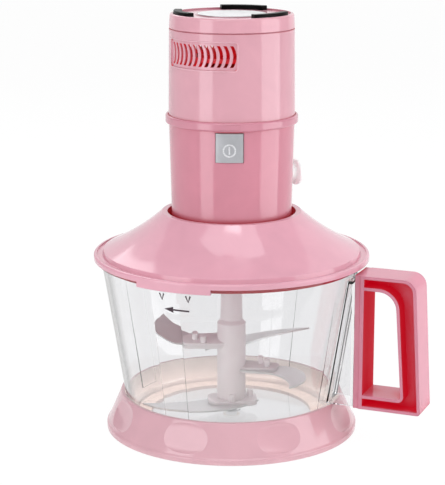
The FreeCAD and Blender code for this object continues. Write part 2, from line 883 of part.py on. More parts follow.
def set_wing(thing, label):
    level, angle, pitch, rise = WINGS[label]
    swing = FreeCAD.Rotation(Vector(0, 0, 1), angle.value)
    climb = FreeCAD.Rotation(Vector(0, 1, 0), -rise.value)
    lean = FreeCAD.Rotation(Vector(1, 0, 0), -pitch.value)
    set_down(thing, floor_top + level, swing.multiply(climb).multiply(lean))


def heeled_outline():
    return [
        (blade_root, -s.blade_trail),
        Bow(s.blade_inner_curve, right=False),
        (blade_reach, s.blade_tip_offset),
        Bow(s.heel_curve),
        (-s.heel_reach, s.heel_side),
        (-s.heel_gap, s.heel_gap),
        (blade_root, s.heel_gap),
    ]


def sickle_outline(label):
    tip_inset, tip_drop, outer_curve, inner_curve = SICKLES[label]
    return [
        (blade_root, -s.blade_trail),
        (s.sickle_inner_arm, -s.blade_trail),
        Bow(inner_curve, right=False),
        (blade_reach - tip_inset, -tip_drop),
        Bow(outer_curve),
        (s.sickle_arm, s.sickle_side),
        (blade_root, s.sickle_side),
    ]


def blade(label):
    piece = Piece(label)
    outline = sickle_outline(label) if label in SICKLES else heeled_outline()
    piece.pad("XY_Plane", [outline], s.blade_gauge, both=True)
    set_wing(piece.body, label)
    return keep(piece.body)


def hub_arm(label):
    # the moulded grip round a blade's root, with the pegs that stand on it
    piece = Piece(f"arm_{label}")
    low = -s.blade_trail
    high = s.arm_width - s.blade_trail
    arm = [
        (0, low, s.arm_edge / 2),
        (s.arm_reach, low + s.arm_edge, s.arm_edge),
        (s.arm_reach, high, s.arm_edge),
        (0, high, s.arm_edge / 2),
    ]
    foot_plate = [
        (-s.foot_plate_left, -s.foot_plate_rear, s.foot_plate_edge),
        (s.foot_plate_right, -s.foot_plate_rear, s.foot_plate_edge),
        (s.foot_plate_right, s.foot_plate_front, s.foot_plate_edge),
        (-s.foot_plate_left, s.foot_plate_front, s.foot_plate_edge),
    ]
    pegs = ((s.inner_peg_reach, s.inner_peg_side), (s.outer_peg_reach, s.outer_peg_side))
    if label == FOOT_BLADE:
        pegs = ((-s.heel_peg_reach, 0), (0, s.front_peg_side))
        top = s.foot_plate_thickness - s.blade_gauge / 2
        piece.pad("XY_Plane", [foot_plate], s.foot_plate_thickness, lift=-s.blade_gauge / 2)
    else:
        top = s.arm_thickness / 2
        piece.pad("XY_Plane", [arm], s.arm_thickness, both=True)
    for along, across in pegs:
        piece.pad("XY_Plane", [(along, across, s.peg_radius)], s.peg_height + s.sink, lift=top - s.sink)
    set_wing(piece.body, label)
    return piece.body


# Blade hub: a stepped tube moulded round the blades, with arms along three and a hexagon at its top
def blade_hub(blades):
    stock = Piece("hub_stock")
    shoulder = hub_foot + s.hub_shoulder
    stock.revolve([
        (0, hub_foot),
        (s.hub_lower_radius, hub_foot),
        (s.hub_lower_radius, shoulder),
        (s.hub_upper_radius, shoulder + s.hub_shoulder_height),
        (s.hub_neck_radius, hub_top),
        (0, hub_top),
    ])
    half = s.drive_flats / 2
    across = s.drive_flats / math.sqrt(3)
    stock.pad("XY_Plane", [[
        (across, 0), (across / 2, half), (-across / 2, half),
        (-across, 0), (-across / 2, -half), (across / 2, -half),
    ]], drive_top - hub_top, lift=hub_top)
    arms = [hub_arm(label) for label in WINGS if label != ARMLESS_BLADE]
    joined = doc.addObject("Part::MultiFuse", "hub_joined")
    joined.Shapes = [stock.body] + arms
    bush_bore = Piece("hub_bush_bore")
    bush_bore.pad("XY_Plane", [(0, 0, bush_outer)], s.hub_bush_length + hub_foot)
    pin_bore = Piece("hub_pin_bore")
    pin_bore.pad("XY_Plane", [(0, 0, s.spindle_radius + s.clearance)], spindle_top + s.hub_bore_gap)
    tools = doc.addObject("Part::MultiFuse", "hub_tools")
    tools.Shapes = [bush_bore.body, pin_bore.body]
    bored = doc.addObject("Part::Cut", "hub_bored")
    bored.Base = joined
    bored.Tool = tools
    slots = doc.addObject("Part::MultiFuse", "hub_slots")
    slots.Shapes = blades
    hub = doc.addObject("Part::Cut", "blade_hub")
    hub.Base = bored
    hub.Tool = slots
    hub.Label = "blade_hub"
    keep(hub)


def hub_bush():
    piece = Piece("hub_bush")
    bore = s.spindle_radius + s.shaft_gap
    piece.revolve(rectangle(bore, hub_foot, bush_outer, hub_foot + s.hub_bush_length))
    keep(piece.body)


# Motor head shells
def lower_sleeve():
    piece = Piece("lower_sleeve")
    ledge_foot = end_plate_foot - s.ledge_thickness
    root_top = sleeve_top - s.spigot_root
    root_foot = root_top - s.shell_wall
    piece.revolve([
        (s.sleeve_bottom_radius - s.shell_wall, sleeve_foot),
        (s.sleeve_bottom_radius, sleeve_foot),
        (s.sleeve_top_radius, sleeve_top),
        (spigot_radius, sleeve_top),
        (spigot_radius, sleeve_top + s.spigot_height),
        (spigot_inner, sleeve_top + s.spigot_height),
        (spigot_inner, root_top),
        (sleeve_radius(root_foot) - s.shell_wall, root_foot),
        (sleeve_radius(end_plate_foot) - s.shell_wall, end_plate_foot),
        (ledge_inner, end_plate_foot),
        (ledge_inner, ledge_foot),
        (sleeve_radius(ledge_foot) - s.shell_wall, ledge_foot),
    ])
    half = s.button_width / 2 + s.clearance
    piece.pad("XZ_Plane", [rectangle(-half, button_foot - s.clearance, half, button_top + s.clearance)],
              far - spigot_inner + s.shell_wall * 2, lift=far, cut=True)
    piece.pad("XZ_Plane", [(0, sleeve_foot + s.gland_level, s.gland_neck_radius + s.clearance)],
              far - spigot_inner + s.shell_wall * 2, lift=far, turn=s.gland_angle + 90, cut=True)
    keep(piece.turn_by(s.motor_turn).body)


def trim_collar():
    piece = Piece("trim_collar")
    inner = s.housing_bottom_radius + s.clearance
    lip_inner = spigot_radius + s.clearance
    piece.revolve([
        (lip_inner, sleeve_top),
        (s.collar_radius, sleeve_top, s.collar_edge),
        (s.collar_radius, sleeve_top + s.collar_height, s.collar_edge),
        (inner, sleeve_top + s.collar_height),
        (inner, housing_foot),
        (lip_inner, housing_foot),
    ])
    # a thin raised pad over the button
    piece.revolve(
        rectangle(s.collar_radius - s.sink, sleeve_top + s.collar_edge, s.collar_radius + s.collar_pad,
                  sleeve_top + s.collar_height - s.collar_edge),
        span=s.collar_pad_span, turn=-90)
    keep(piece.turn_by(s.motor_turn).body)


cap_boss_foot = housing_top - s.cap_spigot - s.clearance


def motor_housing():
    piece = Piece("motor_housing")
    piece.revolve([
        (s.housing_bottom_radius - s.shell_wall, housing_foot),
        (s.housing_bottom_radius, housing_foot),
        (s.housing_top_radius, housing_top),
        (s.housing_top_radius - s.shell_wall, housing_top),
    ])
    boss_foot = upper_top + s.screw_head_height + s.clearance * 2
    boss = piece.pad("XY_Plane", [(foot_circle, 0, s.cap_boss_radius)],
                     cap_boss_foot - boss_foot, lift=boss_foot, turn=s.foot_angle)
    piece.repeat([boss], s.foot_count)
    hole = piece.pad("XY_Plane", [(foot_circle, 0, s.screw_radius)],
                     cap_boss_foot - boss_foot, lift=cap_boss_foot, turn=s.foot_angle, cut=True)
    piece.repeat([hole], s.foot_count)
    level = housing_foot + s.vent_level
    half_panel = s.vent_panel_height / 2
    half_slot = s.vent_slot_height / 2
    half_width = s.vent_slot_width / 2
    sweep = s.vent_pitch * (s.vent_count - 1)
    middle = s.vent_first_angle - sweep / 2
    panel_radius = s.housing_top_radius - s.vent_depth
    slot = [
        (-half_width, level - half_slot),
        (half_width, level - half_slot),
        Bow(s.vent_slot_curve),
        (half_width, level + half_slot),
        (-half_width, level + half_slot),
        Bow(s.vent_slot_curve, right=False),
    ]
    for group in (0, 1):
        swing = s.vent_first_angle - s.vent_group_step * group
        piece.revolve(
            rectangle(panel_radius, level - half_panel, panel_radius + s.shell_wall * 2,
                      level + half_panel),
            span=s.vent_panel_span, turn=middle - 90 - s.vent_group_step * group, cut=True)
        first = piece.pad("XZ_Plane", [slot], far - foot_circle + s.shell_wall, lift=far,
                          turn=swing, cut=True)
        piece.repeat([first], s.vent_count, sweep, backwards=True)
    keep(piece.turn_by(s.motor_turn).body)


def top_cap():
    piece = Piece("top_cap")
    spigot = s.housing_top_radius - s.shell_wall - s.clearance
    spigot_wall = spigot - s.shell_wall
    spigot_foot = housing_top - s.cap_spigot
    reveal_radius = s.housing_top_radius - s.cap_reveal_depth
    rim_inner = cap_radius - s.cap_rim
    disc_top = recess + s.plate_disc_height
    piece.revolve([
        (spigot_wall, spigot_foot),
        (spigot, spigot_foot),
        (spigot, housing_top),
        (reveal_radius, housing_top),
        (reveal_radius, housing_top + s.cap_reveal),
        (s.housing_top_radius, housing_top + s.cap_reveal),
        (cap_radius, cap_top, s.cap_edge),
        (rim_inner, cap_top),
        (rim_inner, recess),
        (s.plate_disc_radius, recess),
        (s.plate_disc_radius, disc_top),
        (0, disc_top),
        (0, recess - s.cap_plate),
        (spigot_wall, recess - s.cap_plate),
    ])
    boss = piece.pad("XY_Plane", [(foot_circle - s.clearance * 3, 0, s.cap_post_radius)],
                     recess - s.cap_plate - spigot_foot + s.sink, lift=spigot_foot, turn=s.foot_angle)
    piece.repeat([boss], s.foot_count)
    hole = piece.pad("XY_Plane", [(foot_circle, 0, s.screw_radius)], recess - spigot_foot,
                     lift=recess, turn=s.foot_angle, cut=True)
    head = piece.pad("XY_Plane", [(foot_circle, 0, s.screw_head_radius)], s.screw_head_height,
                     lift=recess, turn=s.foot_angle, cut=True)
    piece.repeat([hole, head], s.foot_count)
    keep(piece.turn_by(s.motor_turn).body)


def rubber_feet():
    piece = Piece("rubber_feet")
    inner = foot_circle - s.foot_width / 2
    outer = foot_circle + s.foot_width / 2
    foot = piece.revolve([
        (inner, recess),
        (outer, recess),
        (outer, recess + s.foot_height, s.foot_edge),
        (inner, recess + s.foot_height, s.foot_edge),
    ], span=s.foot_span, turn=s.foot_angle)
    piece.repeat([foot], s.foot_count)
    keep(piece.turn_by(s.motor_turn).body)


def rating_plate():
    piece = Piece("rating_plate")
    foot = recess + s.plate_disc_height
    piece.revolve(rectangle(0, foot, s.plate_disc_radius - s.plate_inset, foot + s.plate_thickness))
    keep(piece.body)


def screws(label, circle, angle, count, seat, length, radius, head_up):
    # a ring of upright screws: the head stands on the seat and the shank runs the other way
    piece = Piece(label)
    head = piece.pad("XY_Plane", [(circle, 0, s.screw_head_radius)], s.screw_head_height,
                     lift=seat, turn=angle, flip=not head_up)
    shank = piece.pad("XY_Plane", [(circle, 0, radius)], length, lift=seat, turn=angle, flip=head_up)
    piece.repeat([head, shank], count)
    keep(piece.turn_by(s.motor_turn).body)


# Press button and switch
button_inner = button_radius - s.button_depth
lip_foot = button_foot - s.button_lip
lip_top = sleeve_top - s.spigot_root - s.shell_wall - s.clearance
lip_inner = button_inner - s.button_lip


def power_button():
    piece = Piece("power_button")
    half = s.button_width / 2
    front = root(button_radius * button_radius - half * half)
    piece.pad("XY_Plane", [[
        (-half, -front),
        Bow(button_radius),
        (half, -front),
        (half, -button_inner),
        (-half, -button_inner),
    ]], s.button_height, lift=button_foot)
    lip_half = half + s.button_lip
    piece.pad("XY_Plane", [rectangle(-lip_half, -button_inner, lip_half, -lip_inner)],
              lip_top - lip_foot, lift=lip_foot)
    keep(piece.turn_by(s.motor_turn).body)


switch_face = lip_inner - s.button_travel - s.clearance * 2
switch_foot = button_middle - s.switch_height / 2


def switch_plunger():
    piece = Piece("switch_plunger")
    piece.pad("XZ_Plane", [(0, button_middle, s.plunger_radius)], s.plunger_length,
              lift=lip_inner, flip=True)
    keep(piece.turn_by(s.motor_turn).body)


def switch_body():
    piece = Piece("switch_body")
    half = s.switch_width / 2
    piece.pad("XY_Plane", [rectangle(-half, -switch_face, half, s.switch_depth - switch_face)],
              s.switch_height, lift=switch_foot)
    hole = s.plunger_length + s.clearance * 2
    piece.pad("XZ_Plane", [(0, button_middle, s.plunger_radius + s.clearance)], hole,
              lift=switch_face, cut=True)
    keep(piece.turn_by(s.motor_turn).body)


# Cord gland: drawn upright with its axis on Z, then laid down to point out of the sleeve
def cord_gland():
    piece = Piece("cord_gland")
    level = sleeve_foot + s.gland_level
    wall_inner = sleeve_radius(level) - s.shell_wall
    nut_top = root(wall_inner * wall_inner - s.gland_nut_radius * s.gland_nut_radius) - s.clearance
    nut_foot = nut_top - s.gland_nut_thickness
    gland_end = sleeve_radius(level) + s.gland_stand
    gland_seat = gland_end - s.gland_flange_thickness
    edge = s.gland_flange_thickness * 0.45
    piece.revolve([
        (s.gland_bore, nut_foot),
        (s.gland_nut_radius, nut_foot),
        (s.gland_nut_radius, nut_top),
        (s.gland_neck_radius, nut_top),
        (s.gland_neck_radius, gland_seat),
        (s.gland_flange_radius, gland_seat, edge),
        (s.gland_flange_radius, gland_end, edge),
        (s.gland_bore, gland_end),
    ])
    aim = FreeCAD.Rotation(Vector(0, 0, 1), s.gland_angle.value + s.motor_turn.value)
    lay = FreeCAD.Rotation(Vector(0, 1, 0), 90)
    set_down(piece.body, level, aim.multiply(lay))
    keep(piece.body)


# Motor: end plate, cradle, bushes, stator, armature, brushes and fan
boss_radius = s.bush_radius + s.bush_boss_wall


def end_plate():
    piece = Piece("end_plate")
    outer = sleeve_radius(end_plate_foot) - s.shell_wall - s.clearance
    top = end_plate_foot + s.end_plate_thickness
    boss_top = end_plate_foot + s.bush_length
    piece.revolve([
        (s.bush_radius, end_plate_foot),
        (outer, end_plate_foot),
        (outer, top),
        (boss_radius, top),
        (boss_radius, boss_top),
        (s.bush_radius, boss_top),
    ])
    hole = piece.pad("XY_Plane", [(end_screw_circle, 0, s.screw_radius)], s.end_plate_thickness,
                     lift=top, turn=s.bolt_angle, cut=True)
    piece.repeat([hole], s.bolt_count)
    keep(piece.turn_by(s.motor_turn).body)


def bush(label, foot):
    piece = Piece(label)
    piece.revolve(rectangle(s.shaft_radius + s.shaft_gap, foot, s.bush_radius, foot + s.bush_length))
    keep(piece.turn_by(s.motor_turn).body)


holder_foot = commutator_foot + (s.commutator_height - s.brush_height) / 2 - s.holder_wall
holder_half = s.brush_width / 2 + s.holder_wall
holder_start = s.commutator_radius + s.holder_gap
holder_end = stator_radius - s.holder_inset


def lower_bracket():
    piece = Piece("lower_bracket")
    piece.revolve(rectangle(boss_radius + s.clearance, bracket_foot, ledge_inner, bracket_top))
    post = piece.pad("XY_Plane", [(bolt_circle, 0, s.post_radius)], stator_foot - bracket_foot,
                     lift=bracket_foot, turn=s.bolt_angle)
    piece.repeat([post], s.bolt_count)
    for side in (1, -1):
        near = holder_start + s.clearance
        left, right = (near, holder_end) if side > 0 else (-holder_end, -near)
        piece.pad("XY_Plane", [rectangle(left, -holder_half, right, holder_half)],
                  holder_foot - bracket_foot, lift=bracket_foot)
    half = s.switch_width / 2 - s.holder_wall
    piece.pad("XY_Plane", [rectangle(-half, s.holder_wall - switch_face, half,
                                     s.switch_depth - switch_face - s.holder_wall)],
              switch_foot - bracket_foot, lift=bracket_foot)
    low = piece.pad("XY_Plane", [(end_screw_circle, 0, s.screw_radius)], s.bracket_plate,
                    lift=bracket_top, turn=s.bolt_angle, cut=True)
    high = piece.pad("XY_Plane", [(bolt_circle, 0, s.bolt_radius)], s.bolt_grip,
                     lift=stator_foot, turn=s.bolt_angle, cut=True)
    piece.repeat([low, high], s.bolt_count)
    keep(piece.turn_by(s.motor_turn).body)


def stator_core():
    piece = Piece("stator_core")
    piece.revolve(rectangle(stator_inner, stator_foot, stator_radius, stator_top))
    neck = piece.revolve(
        rectangle(shoe_outer - s.sink, stator_foot, stator_inner + s.sink, stator_top),
        span=s.pole_neck_span)
    shoe = piece.revolve(rectangle(shoe_inner, stator_foot, shoe_outer, stator_top), span=s.pole_span)
    piece.repeat([neck, shoe], s.pole_count)
    hole = piece.pad("XY_Plane", [(bolt_circle, 0, s.bolt_radius)], s.stator_height,
                     lift=stator_top, turn=s.bolt_angle, cut=True)
    piece.repeat([hole], s.bolt_count)
    keep(piece.turn_by(s.motor_turn).body)


def field_coils():
    piece = Piece("field_coils")
    inner = shoe_outer + s.clearance
    outer = stator_inner - s.clearance
    coil = piece.revolve(
        rectangle(inner, stator_foot - s.coil_end, outer, stator_top + s.coil_end), span=s.coil_span)
    window = piece.revolve(
        rectangle(inner - s.overcut, stator_foot - s.clearance, outer + s.overcut,
                  stator_top + s.clearance),
        span=s.pole_neck_span + s.coil_side_gap, cut=True)
    piece.repeat([coil, window], s.pole_count)
    keep(piece.turn_by(s.motor_turn).body)


def upper_bracket():
    piece = Piece("upper_bracket")
    piece.revolve([
        (s.bush_radius, upper_foot),
        (stator_radius, upper_foot),
        (stator_radius, upper_top),
        (boss_radius, upper_top),
        (boss_radius, bush_top),
        (s.bush_radius, bush_top),
    ])
    leg = piece.pad("XY_Plane", [(bolt_circle, 0, s.post_radius)], s.upper_leg + s.upper_plate / 2,
                    lift=stator_top, turn=s.bolt_angle)
    piece.repeat([leg], s.bolt_count)
    hole = piece.pad("XY_Plane", [(bolt_circle, 0, s.bolt_radius)], s.upper_leg + s.upper_plate,
                     lift=upper_top, turn=s.bolt_angle, cut=True)
    piece.repeat([hole], s.bolt_count)
    window = piece.pad("XY_Plane", [(s.upper_window_circle, 0, s.upper_window_radius)],
                       s.upper_plate, lift=upper_top, cut=True)
    piece.repeat([window], s.upper_window_count)
    keep(piece.turn_by(s.motor_turn).body)


def brush_holders():
    piece = Piece("brush_holders")
    top = holder_foot + s.brush_height + s.holder_wall * 2
    for left, right in ((holder_start, holder_end), (-holder_end, -holder_start)):
        piece.pad("XY_Plane", [rectangle(left, -holder_half, right, holder_half)],
                  top - holder_foot, lift=holder_foot)
        half = s.brush_width / 2 + s.clearance / 2
        piece.pad("XY_Plane", [rectangle(left, -half, right, half)],
                  s.brush_height + s.clearance, lift=top - s.holder_wall + s.clearance / 2, cut=True)
    keep(piece.turn_by(s.motor_turn).body)


def carbon_brushes():
    piece = Piece("carbon_brushes")
    start = s.commutator_radius + s.brush_gap
    end = start + s.brush_length
    half = s.brush_width / 2
    for left, right in ((start, end), (-end, -start)):
        piece.pad("XY_Plane", [rectangle(left, -half, right, half)], s.brush_height,
                  lift=holder_foot + s.holder_wall)
    keep(piece.turn_by(s.motor_turn).body)


def armature_shaft():
    piece = Piece("armature_shaft")
    piece.revolve(rectangle(0, shaft_foot, s.shaft_radius, fan_top + s.shaft_top))
    keep(piece.turn_by(s.motor_turn).body)


def armature_core():
    piece = Piece("armature_core")
    piece.revolve(rectangle(s.shaft_radius, stator_foot, armature_radius, stator_top))
    half = s.armature_slot / 2
    reach = armature_radius + s.overcut
    slot = piece.pad(
        "XY_Plane", [rectangle(armature_radius - s.armature_slot_depth, -half, reach, half)],
        s.stator_height, lift=stator_top, cut=True)
    piece.repeat([slot], s.armature_slots)
    keep(piece.turn_by(s.motor_turn).body)


def armature_winding():
    piece = Piece("armature_winding")
    edge = s.winding_end / 3
    outer = armature_radius - s.winding_inset
    piece.revolve([
        (s.winding_inner_radius, stator_top),
        (outer, stator_top),
        (outer, stator_top + s.winding_end, edge),
        (s.winding_inner_radius, stator_top + s.winding_end, edge),
    ])
    piece.revolve([
        (s.winding_inner_radius, stator_foot - s.winding_end, edge),
        (outer, stator_foot - s.winding_end, edge),
        (outer, stator_foot),
        (s.winding_inner_radius, stator_foot),
    ])
    keep(piece.turn_by(s.motor_turn).body)


def commutator():
    piece = Piece("commutator")
    piece.revolve(rectangle(s.shaft_radius, commutator_foot, s.commutator_radius,
                            commutator_foot + s.commutator_height))
    keep(piece.turn_by(s.motor_turn).body)


def drive_coupling():
    piece = Piece("drive_coupling")
    edge = s.bush_wall / 2
    piece.revolve([
        (0, coupling_foot),
        (s.coupling_radius, coupling_foot, edge),
        (s.coupling_radius, coupling_top, edge),
        (0, coupling_top),
    ])
    flats = s.drive_flats + s.clearance * 2
    half = flats / 2
    across = flats / math.sqrt(3)
    piece.pad("XY_Plane", [[
        (across, 0), (across / 2, half), (-across / 2, half),
        (-across, 0), (-across / 2, -half), (across / 2, -half),
    ]], shaft_foot - coupling_foot, lift=shaft_foot, cut=True)
    piece.pad("XY_Plane", [(0, 0, s.shaft_radius)], s.coupling_grip, lift=coupling_top, cut=True)
    keep(piece.body)


def cooling_fan():
    piece = Piece("cooling_fan")
    disc_top = fan_foot + s.fan_disc
    piece.revolve([
        (s.shaft_radius, fan_foot),
        (fan_radius, fan_foot),
        (fan_radius, disc_top),
        (s.fan_hub_radius, disc_top),
        (s.fan_hub_radius, fan_top),
        (s.shaft_radius, fan_top),
    ])
    half = s.fan_blade / 2
    vane = piece.pad("XY_Plane", [rectangle(s.fan_hub_radius - s.sink, -half, fan_radius, half)],
                     s.fan_height - s.fan_disc / 2, lift=disc_top - s.fan_disc / 2)
    piece.repeat([vane], s.fan_blade_count)
    keep(piece.turn_by(s.motor_turn).body)


base_ring()
bowl()
spindle_pin()
handle()
lid_cover()
lid_seal()
blade_hub([blade(label) for label in WINGS])
hub_bush()
lower_sleeve()
trim_collar()
motor_housing()
top_cap()
rubber_feet()
rating_plate()
screws("cap_screws", foot_circle, s.foot_angle, s.foot_count, recess - s.screw_head_height,
       s.cap_screw_length, s.screw_radius, True)
power_button()
switch_plunger()
switch_body()
cord_gland()
end_plate()
bush("lower_bush", end_plate_foot)
bush("upper_bush", upper_foot)
lower_bracket()
screws("end_plate_screws", end_screw_circle, s.bolt_angle, s.bolt_count, end_plate_foot,
       s.end_plate_thickness + s.bracket_plate, s.screw_radius, False)
stator_core()
field_coils()
upper_bracket()
screws("bracket_bolts", bolt_circle, s.bolt_angle, s.bolt_count, upper_top,
       upper_top - stator_foot + s.bolt_grip, s.bolt_radius, True)
brush_holders()
carbon_brushes()
armature_shaft()
armature_core()
armature_winding()
commutator()
drive_coupling()
cooling_fan()

doc.recompute()
for thing in doc.Objects:
    if "Invalid" in thing.State or "Error" in thing.State:
        raise RuntimeError(f"{thing.Label} failed: {thing.State}")
for part in sub_parts:
    if part.Shape.isNull() or not part.Shape.isValid():
        raise RuntimeError(f"{part.Label} has no valid shape")

os.makedirs("parts", exist_ok=True)
for part in sub_parts:
    part.Shape.exportStep(f"parts/{part.Label}.step")
    print(part.Label, len(part.Shape.Solids), round(part.Shape.Volume, 1))
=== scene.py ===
import math

import bmesh
import bpy
from mathutils import Matrix, Vector


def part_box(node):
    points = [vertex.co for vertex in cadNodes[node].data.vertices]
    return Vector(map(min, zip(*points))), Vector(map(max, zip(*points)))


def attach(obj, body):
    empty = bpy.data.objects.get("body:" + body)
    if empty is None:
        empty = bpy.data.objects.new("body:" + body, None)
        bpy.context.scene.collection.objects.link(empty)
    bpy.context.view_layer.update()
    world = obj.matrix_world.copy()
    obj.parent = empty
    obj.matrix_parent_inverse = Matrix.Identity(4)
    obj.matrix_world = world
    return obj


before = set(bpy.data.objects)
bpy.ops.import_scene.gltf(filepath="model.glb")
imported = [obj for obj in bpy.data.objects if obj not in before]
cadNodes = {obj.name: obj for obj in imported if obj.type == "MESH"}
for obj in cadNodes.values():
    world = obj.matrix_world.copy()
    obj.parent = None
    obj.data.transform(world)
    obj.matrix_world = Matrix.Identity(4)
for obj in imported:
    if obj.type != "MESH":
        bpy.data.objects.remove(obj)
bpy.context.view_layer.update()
mm = 0.001
axisX = (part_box("spindle_pin")[0].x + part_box("spindle_pin")[1].x) / 2  # the upright blade axis
axisSpot = Vector((axisX, 0, 0))
headTurn = math.radians(20)  # how far the motor head's front is turned from -Y
viewTurn = math.radians(22)  # the same for the camera
print("frame loaded with", len(cadNodes), "nodes")


def linearRgb(hexText):
    channels = [int(hexText[i:i + 2], 16) / 255 for i in (1, 3, 5)]
    return [c / 12.92 if c <= 0.04045 else ((c + 0.055) / 1.055) ** 2.4 for c in channels] + [1]


def addNode(tree, kind, settings=None, links=None):
    node = tree.nodes.new(kind)
    for name, value in (settings or {}).items():
        setattr(node, name, value)
    for name, value in (links or {}).items():
        socket = node.inputs[name]
        if isinstance(value, bpy.types.NodeSocket):
            tree.links.new(value, socket)
        else:
            socket.default_value = value
    return node


def addNoise(tree, place, size, detail, distortion=0.0):
    return addNode(tree, "ShaderNodeTexNoise", links={
        "Vector": place, "Scale": 1 / (size * mm), "Detail": detail,
        "Distortion": distortion}).outputs["Fac"]


def addMath(tree, operation, *values):
    node = addNode(tree, "ShaderNodeMath", {"operation": operation}, dict(enumerate(values)))
    return node.outputs[0]


def addRange(tree, value, fromEnds, toEnds, kind="LINEAR"):
    return addNode(tree, "ShaderNodeMapRange", {"interpolation_type": kind}, {
        "Value": value, "From Min": fromEnds[0], "From Max": fromEnds[1],
        "To Min": toEnds[0], "To Max": toEnds[1]}).outputs[0]


def addBlend(tree, share, first, second):
    return addNode(tree, "ShaderNodeMix", {"data_type": "RGBA"}, {
        0: share, 6: linearRgb(first), 7: linearRgb(second)}).outputs[2]


def addBump(tree, height, strength, depth, normal=None):
    links = {"Strength": strength, "Distance": depth * mm, "Height": height}
    if normal:
        links["Normal"] = normal
    return addNode(tree, "ShaderNodeBump", links=links).outputs[0]


def addSplit(tree, vector):
    return addNode(tree, "ShaderNodeSeparateXYZ", links={0: vector}).outputs


def startMaterial(name):
    material = bpy.data.materials.new(name)
    material.use_nodes = True
    tree = material.node_tree
    tree.nodes.clear()
    return material, tree, addNode(tree, "ShaderNodeTexCoord").outputs


def endMaterial(tree, surface):
    addNode(tree, "ShaderNodeOutputMaterial", links={"Surface": surface})


whole = (0.0, 1.0)  # the full span of a share
noiseSpan = (0.3, 0.7)  # where nearly all of a smooth noise lies
gritSpan = (0.25, 0.75)  # the same for the finer noise of grit


def glossEnds(look):
    return [look["roughness"] + more for more in look["glossSpan"]]


# glossy injection moulded ABS: mirror-like skin with a faint orange peel, softly rounded at every
# edge;
# in a recess, and on faces turned along X by sideShade, it gets painted shade, deeper and redder
# (in the base a paler painted light instead), plus a painted glow from emission
def mouldedAbs(name, look):
    material, tree, place = startMaterial(name)
    peel = addNoise(tree, place["Object"], look["peelSize"], 1.0)
    flow = addNoise(tree, place["Object"], look["flowSize"], 3.0, 0.6)
    openness = addNode(tree, "ShaderNodeAmbientOcclusion", {"samples": 12}, {
        "Distance": look["recessReach"] * mm}).outputs["AO"]
    across = addMath(tree, "ABSOLUTE", addSplit(tree, place["Normal"])["X"])
    # faces turned along X lose openness by sideShade: painted shade on those sides
    level = addMath(tree, "MULTIPLY_ADD", across, -look["sideShade"], openness)
    exposed = addRange(tree, level, (look["recessDark"], look["recessLight"]), whole, "SMOOTHSTEP")
    shade = addRange(tree, flow, noiseSpan, look["shade"])
    colour = addNode(tree, "ShaderNodeVectorMath", {"operation": "SCALE"}, {
        # where the surface is not exposed, the colour turns to the recess tone: painted shade
        # (painted light in the base)
        0: addBlend(tree, exposed, look["recess"], look["colour"]), 3: shade})
    gloss = addRange(tree, flow, noiseSpan, glossEnds(look))
    dull = addRange(tree, exposed, whole, (look["recessRough"], 0.0))
    # painted glow: emission in the recesses, standing in for light; no lamp
    paintedGlow = addRange(tree, exposed, whole, (look["paintedGlow"], 0.0))
    edge = addNode(tree, "ShaderNodeBevel", {"samples": 6}, {"Radius": look["edge"] * mm})
    body = addNode(tree, "ShaderNodeBsdfPrincipled", links={
        "Base Color": colour.outputs[0], "Roughness": addMath(tree, "ADD", gloss, dull),
        "IOR": look["ior"],
        "Normal": addBump(tree, peel, look["relief"], look["reliefDepth"], edge.outputs[0]),
        "Emission Color": linearRgb(look["paintedGlowColour"]), "Emission Strength": paintedGlow})
    endMaterial(tree, body.outputs[0])
    return material


# clear SAN, moulded and polished: faint grey tint with slight ripples, and painted shade, a darker
# tint, where an upright wall away from the handle's bracket is seen edge on
def clearSan(name, look):
    material, tree, place = startMaterial(name)
    ripple = addNoise(tree, place["Object"], look["rippleSize"], 1.0)
    flat = addMath(tree, "ABSOLUTE", addSplit(tree, place["Normal"])["Z"])
    turned = addNode(tree, "ShaderNodeLayerWeight", links={"Blend": 0.5}).outputs["Facing"]
    upright = addMath(tree, "SUBTRACT", turned, flat)
    edgeOn = addRange(tree, upright, look["edgeSpan"], whole, "SMOOTHSTEP")
    bracketSpan = [x * mm for x in look["bracketSpan"]]
    openWall = addRange(tree, addSplit(tree, place["Object"])["X"], bracketSpan, (1.0, 0.0))
    # painted shade: the glass colour is darkened towards the edge colour where an upright wall is
    # seen edge on
    tintWithEdgeShade = addBlend(tree, addMath(tree, "MULTIPLY", edgeOn, openWall), look["colour"], look["edge"])
    body = addNode(tree, "ShaderNodeBsdfPrincipled", links={
        "Base Color": tintWithEdgeShade, "Roughness": addRange(tree, ripple, noiseSpan, (0.0, look["haze"])),
        "IOR": look["ior"], "Transmission Weight": 1.0,
        "Normal": addBump(tree, ripple, look["relief"], look["reliefDepth"])})
    way = addNode(tree, "ShaderNodeLightPath")
    through = addNode(tree, "ShaderNodeBsdfTransparent", links={
        "Color": linearRgb(look["lampTint"])})
    both = addNode(tree, "ShaderNodeMixShader", links={
        0: way.outputs["Is Shadow Ray"], 1: body.outputs[0], 2: through.outputs[0]})
    endMaterial(tree, both.outputs[0])
    return material


# natural nylon, moulded: milky and soft, light goes a little way in; glow adds a painted glow in
# its own colour
def milkyNylon(name, look):
    look = {"ior": 1.53, "edge": 0.4, "glossSpan": (-0.05, 0.08), "glow": 0.0, **look}
    material, tree, place = startMaterial(name)
    cloud = addNoise(tree, place["Object"], look["cloudSize"], 3.0)
    gloss = addRange(tree, cloud, whole, glossEnds(look))
    edge = addNode(tree, "ShaderNodeBevel", {"samples": 4}, {"Radius": look["edge"] * mm})
    body = addNode(tree, "ShaderNodeBsdfPrincipled", links={
        "Base Color": addBlend(tree, cloud, look["dark"], look["colour"]), "Roughness": gloss,
        "IOR": look["ior"], "Subsurface Weight": look["milk"], "Subsurface Scale": 1.0,
        "Subsurface Radius": [look["depth"] * mm] * 3, "Normal": edge.outputs[0],
        # glow is a painted glow: emission in the nylon's own colour, standing in for light
        "Emission Color": linearRgb(look["colour"]), "Emission Strength": look["glow"]})
    endMaterial(tree, body.outputs[0])
    return material


